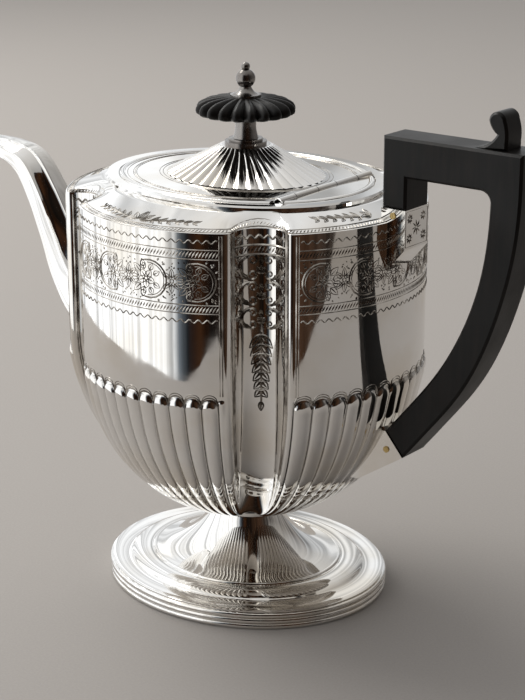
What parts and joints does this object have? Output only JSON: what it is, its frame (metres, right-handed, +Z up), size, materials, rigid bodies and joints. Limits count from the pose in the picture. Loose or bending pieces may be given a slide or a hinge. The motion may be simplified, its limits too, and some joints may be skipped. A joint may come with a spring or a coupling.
{
  "type": "coffee pot",
  "caption": "Oval panelled silver coffee pot on a domed foot, with corner niches, swan-neck spout, square-topped wooden handle and a hinged lid with a wooden finial.",
  "frame": {"origin": "centre of the oval foot, on the table plane", "axes": "+Z up, +X from the middle of the pot towards the handle, -X towards the spout, Y across the pot"},
  "size_m": [0.2573, 0.1336, 0.2046],
  "materials": {
    "silver": "polished sterling silver, hand engraved, with faint tarnish in the recesses",
    "ebonised_wood": "hardwood stained black and waxed, semi-matt",
    "brass": "polished pin heads, plain turned stud, washer and nut"
  },
  "bodies": {
    "pot": {"foot_rim": "silver", "foot": "silver", "neck_ring": "silver", "bowl_lower": "silver", "bowl_upper": "silver", "body_wall": "silver", "shoulder": "silver", "gallery": "silver", "hinge_plate": "silver", "body_hinge_knuckles": "silver", "hinge_pin": "silver", "spout": "silver", "spout_drop": "silver", "upper_socket": "silver", "lower_socket": "silver", "handle": "ebonised_wood", "upper_handle_pin": "brass", "lower_handle_pin": "brass"},
    "lid": {"lid": "silver", "lid_bezel": "silver", "lid_cone": "silver", "lid_hinge_knuckles": "silver", "finial_collar": "silver", "finial_pedestal": "silver", "finial_disc": "ebonised_wood", "finial_knob": "silver", "finial_stud": "brass", "finial_washer": "brass", "finial_nut": "brass"}
  },
  "joints": [
    {"name": "lid_hinge", "type": "hinge", "parent": "pot", "child": "lid", "pos_m": [0.0367, 0, 0.1624], "axis": [0, 1, 0], "range_deg": [0, 82]}
  ]
}
